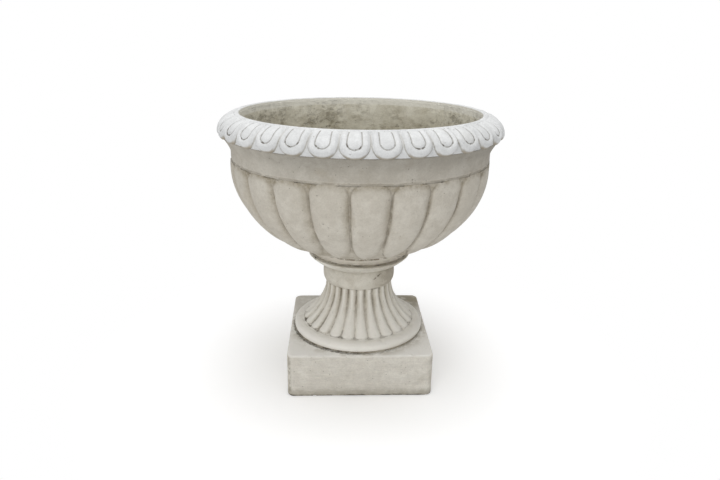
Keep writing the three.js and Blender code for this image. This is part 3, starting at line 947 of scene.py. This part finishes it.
def dirt_and_shade_group():
    """Dirt along an edge, with painted shade in it on the gadroons: a thin broken line on it and a soft
    uneven strip beside it.
    """
    inputs = {"Vector": "Vector", **dict.fromkeys(dirt_labels, "Float")}
    outputs = {"Line": "Float", "Strip": "Float"}
    tree, start, end = new_group("dirt along an edge", "ShaderNodeTree", inputs, outputs)
    stone = Surface(start["Vector"])
    distance, strip_distance, line_width, strip_width, seed = [start[label] for label in dirt_labels]
    ragged = (stone.noise(0.008, 3.0, 0.65, seed) - 0.5) * (3.5 * mm)
    broken = stone.patches(0.02, 4.0, 0.7, seed + 3, 0.4, 0.56)
    feed((1 - ramp(abs(distance + ragged * 0.5), 0, line_width)) * broken, end["Line"])
    uneven = stone.patches(0.045, 4.0, 0.6, seed + 7, 0.36, 0.62)
    speckled = 0.7 + 0.5 * stone.patches(0.0055, 3.0, 0.7, seed + 10, 0.4, 0.6)
    strip = (1 - ramp(strip_distance + ragged, 0, strip_width)) * (0.2 + 0.8 * uneven) * speckled
    feed(strip, end["Strip"])
    return tree


def crack(stone, first, last, width):
    """1 along a ragged crack on the front, between two places given as x and height."""
    x, y, height = parts_of(stone.here)
    run = last[0] - first[0]
    rise = last[1] - first[1]
    share = held(((x - first[0]) * run + (height - first[1]) * rise) / (run ** 2 + rise ** 2))
    aside = root((x - first[0] - share * run) ** 2 + (height - first[1] - share * rise) ** 2)
    ragged = (stone.noise(0.004, 3.0, 0.7, 87) - 0.45) * (4 * width)
    broken = stone.patches(0.006, 3.0, 0.7, 88, 0.34, 0.46)
    return (1 - ramp(aside + ragged, width * 0.2, width)) * broken * (y < 0)


# Materials
def inner_wall(here, height):
    """Damp-stained inner wall of the bowl: paler at the top, with brown streaks and dark patches."""
    wall = Surface(here)
    relief = wall.cast((205, 201, 186), (218, 215, 202), (178, 170, 148), 0.9, 33)
    lower = 1 - ramp(height, bowl_top - 95 * mm, bowl_top - 12 * mm)
    streaks = wall.noise(0.03, 6.0, 0.78, 31, level=1.7)
    blots = wall.noise(0.012, 6.0, 0.8, 37, level=1.7)
    clusters = wall.patches(0.07, 2.0, 0.5, 39, 0.4, 0.56)
    wall.paint(lower * 0.4, (170, 164, 144))
    wall.paint(ramp(streaks, 0.44, 0.62) * (0.3 + 0.5 * lower), (142, 132, 108))
    dark_blots = ramp(blots, 0.48, 0.62) * (0.2 + 0.8 * clusters)
    wall.paint(dark_blots * (0.3 + 0.6 * lower), (100, 90, 72))
    ragged = (blots - 0.5) * (5 * mm)
    at_top = ramp(height + ragged, pale_wall_bottom - 1.5 * mm, pale_wall_bottom + 1.5 * mm)
    wall.paint(at_top * 0.75, (216, 214, 205))
    return wall.color, relief + streaks * 1.4 - dark_blots * 0.6


def whitened_rim(here, height, edge, line):
    """White bloom on the rim, with grey lines round the tongues and dark dirt deep in them."""
    rim = Surface(here)
    relief = rim.cast((213, 214, 214), (222, 223, 223), (201, 201, 198), 0.25, 41)
    low = 1 - ramp(height, rim_edge + 14 * mm, rim_edge + 30 * mm)
    in_line = 1 - ramp(abs(line), 0.1 * mm, 1.1 * mm)
    at_edge = 1 - ramp(abs(edge), 0.1 * mm, 1.1 * mm)
    deep = highest(1 - ramp(abs(line), 0.4 * mm, 1.7 * mm), at_edge * 0.4) * low
    rim.paint(in_line * 0.75, (168, 166, 158))
    rim.paint(at_edge * (0.35 + 0.3 * low), (164, 160, 150))
    specks = rim.patches(0.007, 4.0, 0.7, 43, 0.5, 0.57)
    rim.paint(specks * highest(in_line * 0.25, deep) * 0.9, dark_dirt_and_shade_color)
    return rim.color, relief * 0.6 - in_line * 0.7


def bowl_stone():
    stone = new_surface("bowl_stone", "bowl stone")
    x, _, height = parts_of(stone.here)
    edge = stone.attribute("edge_distance")
    relief = stone.cast((194, 188, 176), (204, 199, 188), (178, 169, 152), 0.5, 11)
    # a darker strip, dirt and painted shade, lies on the right flank of each gadroon, and a dark line on the
    # left edge of the next
    on_left = 1 - ramp(stone.attribute("flank"), -0.1, 0.1)
    line, strip = stone.dirt(edge, edge * (1 + on_left * 4), 1.5 * mm, 13 * mm, 17)
    near_crease = ramp(height, crease - 16 * mm, crease - 5 * mm)
    stone.paint(strip * (0.55 - 0.2 * near_crease), dirt_and_shade_color)
    corner = near_crease * (1 - ramp(edge, 0, 12 * mm)) * stone.patches(0.03, 4.0, 0.65, 23, 0.36, 0.56)
    corner = corner * (1 - ramp(height, crease + 1 * mm, crease + 2 * mm))
    corner = corner * (0.5 + 0.6 * stone.patches(0.005, 4.0, 0.75, 25, 0.42, 0.58))
    stone.paint(corner * 0.85, dirt_and_shade_color)
    stone.paint(line * ((0.1 + 0.32 * on_left) * (1 - 0.5 * near_crease)), dark_dirt_and_shade_color)
    soil = stone.attribute("soil") * stone.patches(0.011, 4.0, 0.65, 19, 0.38, 0.56)
    at_foot = 1 - ramp(height, bowl_base + neck_height * 0.45, bowl_base + neck_height * 0.6)
    soil = soil * (1 - at_foot * ramp(-x, 0.015, 0.04))
    stone.paint(soil * 0.7, (130, 119, 99))
    # painted shade on the band under the rim's overhang, deepest just under the rim and half as deep at the
    # left
    shade_on_band = ramp(height, crease + 1 * mm, crease + 5 * mm)
    shade_under_rim = ramp(height, crease + 6 * mm, rim_edge - 4 * mm)
    stone.shade(1 - (shade_on_band * 0.17 + shade_under_rim * 0.19) * (1 - ramp(-x, 0.08, 0.19) * 0.5))
    # painted light: the neck, which lies in the bowl's shade, is painted paler where it has no soil
    painted_light_on_neck = 1 - ramp(height, neck_top, lobes_bottom)
    stone.paint(painted_light_on_neck * (1 - soil) * 0.85, (220, 214, 202))

    inner = ramp(stone.attribute("inner"), 0.4, 0.8)
    inner_color, inner_relief = inner_wall(stone.here, height)
    stone.paint(inner, inner_color)
    relief = choose(inner, inner_relief, relief)

    # brown at the tongues' tips, dirt and painted shade on their undersides, and the white bloom everywhere
    # else on the rim
    worn = (stone.noise(0.012, 3.0, 0.6, 47) - 0.5) * 0.5
    tip_dirt_and_shade = ramp(edge, -0.3 * mm, 0.3 * mm) * (1 - ramp(edge + worn * (3 * mm), 1.8 * mm, 4.2 * mm))
    tip_dirt_and_shade = tip_dirt_and_shade * (1 - ramp(height, rim_edge + 3 * mm, rim_edge + 12 * mm))
    tip_edge = 1 - ramp(height + worn * (10 * mm), rim_edge + 1 * mm, rim_edge + 6 * mm)
    tip_dirt_and_shade = highest(tip_dirt_and_shade, tip_edge * ramp(edge, 0, 1.5 * mm) * 0.85)
    tip_dirt_and_shade = tip_dirt_and_shade * ramp(stone.attribute("white"), 0.2, 0.5)
    whitened = ramp(stone.attribute("white") + worn * 1.6, 0.45, 0.85) * ramp(stone.facing(), -0.8, -0.4)
    whitened = whitened * (1 - tip_dirt_and_shade * 0.75)
    stone.paint(tip_dirt_and_shade * 0.6, (166, 155, 136))
    in_line = stone.attribute("line_distance")
    rim_color, rim_relief = whitened_rim(stone.here, height, edge, in_line)
    stone.paint(whitened * (1 - inner), rim_color)
    stone.finish(choose(whitened, rim_relief, relief))


def pedestal_stone():
    stone = new_surface("pedestal_stone", "pedestal stone")
    x, _, height = parts_of(stone.here)
    edge = stone.attribute("edge_distance")
    relief = stone.cast((197, 191, 178), (212, 208, 197), (176, 167, 150), 0.6, 51)
    # painted light: the lower pedestal is paler towards the moulding, and the reeds' crests carry a painted
    # highlight below the ring
    low = 1 - ramp(height, reeds_bottom - 6 * mm, ring_bottom)
    crest = ramp(edge, 2 * mm, 8 * mm) * (1 - ramp(height, ring_bottom - 2 * mm, ring_bottom))
    stone.paint(highest(low, crest * 0.7) * 0.85, (241, 238, 230))
    # painted light on the left of the moulding
    on_moulding = 1 - ramp(height, reeds_bottom - 3 * mm, reeds_bottom + 2 * mm)
    stone.paint(on_moulding * ramp(-x, -0.02, 0.08) * 0.5, (246, 243, 236))
    # painted light on the collar's ledge, which lies in the bowl's shade
    on_ledge = ramp(height, pedestal_top - 0.6 * mm, pedestal_top - 0.2 * mm)
    stone.paint(on_ledge * 0.9, (234, 227, 214))
    # painted light on the left end of the collar
    painted_light_at_left = ramp(height, collar_bottom + 2 * mm, pedestal_top - 4 * mm) * ramp(-x, 0.03, 0.065)
    stone.paint(painted_light_at_left * 0.8, (240, 238, 230))
    line, strip = stone.dirt(edge, edge, 1.2 * mm, 5 * mm, 57)
    upper = ramp(height, reeds_bottom + 16 * mm, ring_bottom - 4 * mm)
    dirtier = highest(upper, ramp(-x, 0.0, 0.07) * 0.7)
    stone.paint(strip * (0.25 + 0.4 * dirtier), (160, 151, 132))
    stone.paint(line * (0.12 + 0.45 * dirtier), (104, 95, 78))
    foot = 1 - ramp(height, reeds_bottom + 5 * mm, reeds_bottom + 11 * mm)
    between = ramp(-edge, -0.6 * mm, 0.8 * mm)
    pits = between * foot * stone.patches(0.016, 4.0, 0.7, 58, 0.44, 0.56)
    stone.paint(pits * (0.45 + 0.55 * ramp(-x, 0.0, 0.05)) * 0.85, dark_dirt_and_shade_color)
    soil = stone.attribute("soil") * stone.patches(0.011, 4.0, 0.65, 59, 0.4, 0.58)
    soil = soil * (1 - on_ledge * ramp(-x, 0.02, 0.045) * 0.8)
    stone.paint(soil * 0.6, (150, 138, 116))
    # a stain on the right of the ring, which also stands in for painted shade there
    on_ring = ramp(height, ring_bottom, ring_bottom + 3 * mm)
    on_ring = on_ring * (1 - ramp(height, collar_bottom - 3 * mm, collar_bottom))
    stained = on_ring * ramp(x, 0.015, 0.04) * stone.patches(0.014, 4.0, 0.65, 55, 0.36, 0.56)
    stone.paint(stained * 0.6, (150, 140, 122))
    mark = crack(stone, *cracks[0])
    for places in cracks[1:]:
        mark = highest(mark, crack(stone, *places))
    stone.paint(mark * 0.8, (96, 86, 70))
    stone.finish(relief - mark * 0.8)


def plinth_stone():
    """Plinth: fine level tool marks on its sides, dirt round the moulding and below with a painted contact
    shadow at the foot, olive back corners, painted light on the top and a painted highlight along its edge.
    """
    stone = new_surface("plinth_stone", "plinth stone")
    x, y, height = parts_of(stone.here)
    relief = stone.cast((219, 214, 203), (225, 221, 211), (198, 192, 178), 0.7, 61)
    marks = stone.noise(0.021, 6.0, 0.76, 63, level=8)
    on_side = 1 - ramp(abs(stone.facing()), 0.3, 0.8)
    stone.shade(1 + (marks - 0.5) * on_side * 0.5)
    # painted highlight along the top edge of the sides
    at_top = ramp(height, plinth_top - 5 * mm, plinth_top - 1.5 * mm) * ramp(on_side, 0, 0.6)
    stone.paint(at_top * 0.8, (236, 232, 224))
    ragged = (stone.noise(0.013, 4.0, 0.65, 67) - 0.5) * (16 * mm)
    foot = 1 - ramp(height + ragged, 1 * mm, 18 * mm)
    stone.paint(foot * 0.6, (156, 149, 131))
    # dirt and a painted contact shadow in a broken dark line along the foot
    foot_dirt_and_shadow = 1 - ramp(height + ragged * 0.3, 1.2 * mm, 3.6 * mm)
    stone.paint(foot_dirt_and_shadow * stone.patches(0.025, 4.0, 0.7, 73, 0.36, 0.56) * 0.9, dark_dirt_and_shade_color)
    at_corner = ramp(lowest(abs(x), abs(y)), plinth_half - 9 * mm, plinth_half - 4 * mm) * on_side
    at_corner = at_corner * stone.patches(0.012, 4.0, 0.7, 77, 0.42, 0.58)
    stone.paint(at_corner * (0.4 + 0.6 * ramp(-x, -0.02, 0.02)) * 0.6, (134, 126, 108))
    # painted light: the top is paler than the sides
    on_top = ramp(stone.facing(), 0.5, 0.9)
    stone.paint(on_top * 0.85, (248, 246, 241))
    back = ramp(y, 0.02, 0.09) * on_top * stone.patches(0.03, 4.0, 0.6, 71, 0.22, 0.5)
    stone.paint(back * (0.5 + 0.5 * ramp(x, -0.02, 0.02)) * 0.9, (156, 147, 126))
    from_moulding = root(x ** 2 + y ** 2) - moulding_radius
    beside_joint = (1 - ramp(from_moulding, 0, 22 * mm)) * stone.patches(0.02, 4.0, 0.65, 75, 0.4, 0.6)
    stone.paint(beside_joint * on_top * 0.5, (176, 168, 150))
    rough = (stone.noise(0.006, 4.0, 0.75, 69) - 0.5) * (12 * mm)
    round_joint = (1 - ramp(abs(from_moulding) + rough, 0, 3.6 * mm)) * (0.25 + 0.75 * ramp(-x, -0.06, 0.05))
    stone.paint(round_joint * on_top * 0.75, dark_dirt_and_shade_color)
    stone.finish(relief + marks * on_side * 2)


def mortar():
    stone = new_surface("mortar", "dirty mortar", roughness=0.95)
    x, _, height = parts_of(stone.here)
    relief = stone.cast((172, 164, 148), (190, 184, 170), (112, 103, 86), 1.0, 81)
    # the lower bed is darkest at the left, and the upper one in the middle and at the right
    upper = ramp(height, plinth_top, pedestal_top)
    dark_share = (0.3 + 0.7 * ramp(-x, -0.06, 0.05)) * (1 - upper) + upper * 0.4 * (1 - ramp(-x, 0.015, 0.04))
    stone.paint(stone.patches(0.009, 4.0, 0.7, 83, 0.46, 0.56) * dark_share * 0.8, dark_dirt_and_shade_color)
    stone.finish(relief * 1.5)


def zinc_steel():
    """Galvanised steel: flat crystals of grey, with a white bloom and specks of rust."""
    zinc = new_surface("zinc_steel", "galvanised steel", metallic=1.0, specular=0.5)
    _, (tone, _, _) = zinc.cells(4 * mm)
    bloom = zinc.patches(0.009, 4.0, 0.6, 91, 0.5, 0.75)
    rust = zinc.patches(0.006, 4.0, 0.7, 93, 0.66, 0.74)
    zinc.color = (152, 155, 158)
    zinc.paint(tone, (182, 184, 186))
    zinc.paint(bloom * 0.5, (200, 200, 196))
    zinc.paint(rust * 0.7, (128, 84, 52))
    roughness = 0.38 + tone * 0.12 + bloom * 0.25 + rust * 0.2
    zinc.finish(tone * 0.03 + bloom * 0.05, Roughness=roughness, Metallic=1 - rust * 0.8)


def stainless_pin():
    rod = new_surface("stainless_pin", "stainless rod", metallic=1.0, specular=0.5)
    drawn = rod.noise(0.0008, 3.0, 0.6, 95, level=0.05)
    cement = rod.patches(0.005, 4.0, 0.65, 97, 0.55, 0.7)
    rod.color = (170, 172, 174)
    rod.paint(drawn, (194, 196, 198))
    rod.paint(cement * 0.5, (168, 163, 152))
    rod.finish(drawn * 0.02 + cement * 0.08, Roughness=0.25 + drawn * 0.15 + cement * 0.4)


def rubber_seal():
    rubber = new_surface("rubber_seal", "black rubber", specular=0.4)
    dust = rubber.patches(0.008, 4.0, 0.65, 99, 0.42, 0.68)
    rubber.color = (34, 34, 35)
    rubber.paint(dust * 0.5, (104, 98, 88))
    grain = rubber.noise(0.0009, 2.0, 0.5, 98)
    rubber.finish(grain * 0.05 + dust * 0.04, Roughness=0.62 + dust * 0.3)


turning = turned_tree()
cast_stone = cast_stone_group()
dirt_and_shade_along = dirt_and_shade_group()
bowl_stone()
pedestal_stone()
plinth_stone()
mortar()
zinc_steel()
stainless_pin()
rubber_seal()

# The castings
turned_piece(
    "bowl_casting", bowl_outline(), "bowl_stone", "bowl", steps=bowl_steps, turn=bowl_turn, wander=1.1 * mm,
    wave_depth=0.8 * mm, grain_depth=0.3 * mm, chip_depth=1.2 * mm, seed=3.0,
)
turned_piece(
    "pedestal_casting", pedestal_outline(), "pedestal_stone", "pedestal", steps=reed_count * 32,
    turn=pedestal_turn, wander=0.9 * mm, wave_depth=1 * mm, grain_depth=0.5 * mm, chip_depth=1.2 * mm,
    seed=5.0,
)
turned_piece(
    "plinth_casting", plinth_outline(), "plinth_stone", "plinth", steps=640, wave_depth=0.8 * mm,
    grain_depth=0.4 * mm, chip_depth=2 * mm, seed=8.0,
)

# Mortar beds
for node, spill in mortar_spills.items():
    low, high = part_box(node)
    bed = bed_outline(high.x, low.z, high.z, spill)
    name = node.replace("_bed", "_layer")
    turned_piece(name, bed, "mortar", node, steps=360, chip_depth=3 * mm, grain_depth=0.2 * mm, seed=12.0)

# Tie tube with its nuts, washers and seal
thread = {"thread_pitch": tube_thread_pitch, "thread_depth": tube_thread_depth}
turned_piece("drain_tube", tube_outline(), "zinc_steel", "tie_tube", steps=72, **thread)
for end in ("top", "bottom"):
    low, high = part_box(end + "_nut")
    nut = nut_outline(low.z, high.z)
    settings = {"steps": 96, "sides": 6, "side_turn": full_turn / 12, **thread}
    turned_piece(end + "_hex_nut", nut, "zinc_steel", end + "_nut", **settings)
    low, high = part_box(end + "_washer")
    washer = ring_outline(high.x, low.z, high.z, 0.4 * mm)
    turned_piece(end + "_flat_washer", washer, "zinc_steel", end + "_washer", steps=96)
low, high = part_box("tube_seal")
seal = ring_outline(high.x, low.z, high.z, 0.7 * mm, bulge=0.3 * mm)
turned_piece("rubber_seal_ring", seal, "rubber_seal", "tube_seal", steps=96)

# Dowels
for node in ("lower_dowel_left", "lower_dowel_right", "upper_dowel_left", "upper_dowel_right"):
    low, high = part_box(node)
    pin = pin_outline(high.y, low.z, high.z)
    middle = (low.x + high.x) / 2
    turned_piece(node.replace("dowel", "pin"), pin, "stainless_pin", node, side=middle, steps=32)


# Floor, lamps and camera
def camera_ray(tree):
    """1 where the camera looks straight at a thing, and 0 for light that reaches it otherwise."""
    return add_node(tree, "ShaderNodeLightPath", output="Is Camera Ray")


def make_floor():
    corners = [(x * floor_half, y * floor_half, 0) for x, y in ((-1, -1), (1, -1), (1, 1), (-1, 1))]
    mesh = bpy.data.meshes.new("floor")
    mesh.from_pydata(corners, [], [(0, 1, 2, 3)])
    surface = new_surface("floor", "studio floor", roughness=1.0, specular=0.0)
    tree = surface.here.tree
    shader = tree.nodes["Principled BSDF"].inputs
    x, y, _ = parts_of(surface.here)
    seen = camera_ray(tree)
    near = 1 - ramp(root(x ** 2 + y ** 2), floor_shadow_near, floor_shadow_far)
    feed(choose(seen, near, floor_white), shader["Base Color"])
    shader["Emission Color"].default_value = (1, 1, 1, 1)
    feed(seen * (1 - near * floor_light), shader["Emission Strength"])
    mesh.materials.append(materials["floor"])
    in_scene("floor", mesh)


def make_world():
    world = bpy.data.worlds.new("studio")
    bpy.context.scene.world = world
    world.use_nodes = True
    tree = world.node_tree
    background = tree.nodes["Background"].inputs
    background["Color"].default_value = (1, 1, 1, 1)
    feed(choose(camera_ray(tree), 1.0, sky_strength), background["Strength"])


def make_lamp(name, place, target, size, power):
    lamp = bpy.data.lights.new(name, "AREA")
    lamp.shape = "SQUARE"
    lamp.size = size
    lamp.energy = power
    thing = in_scene(name, lamp)
    thing.location = place
    thing.rotation_mode = "QUATERNION"
    thing.rotation_quaternion = (target - place).to_track_quat("-Z", "Y")


def make_camera():
    lens = bpy.data.cameras.new("camera")
    lens.lens = camera_lens
    lens.sensor_width = camera_sensor
    camera = in_scene("camera", lens)
    heading = Matrix.Rotation(camera_heading, 4, "Z")
    pitch = Matrix.Rotation(math.pi / 2 - camera_pitch, 4, "X")
    roll = Matrix.Rotation(camera_roll, 4, "Z")
    camera.matrix_world = Matrix.Translation(camera_place) @ (heading @ pitch @ roll)
    bpy.context.scene.camera = camera


make_floor()
make_world()
middle = Vector((0, 0, (cad_low.z + cad_high.z) / 2))
make_lamp("top lamp", top_place, middle, top_size, top_power)
make_lamp("front lamp", front_place, middle, front_size, front_power)
make_camera()
bpy.context.scene.view_settings.view_transform = "Standard"
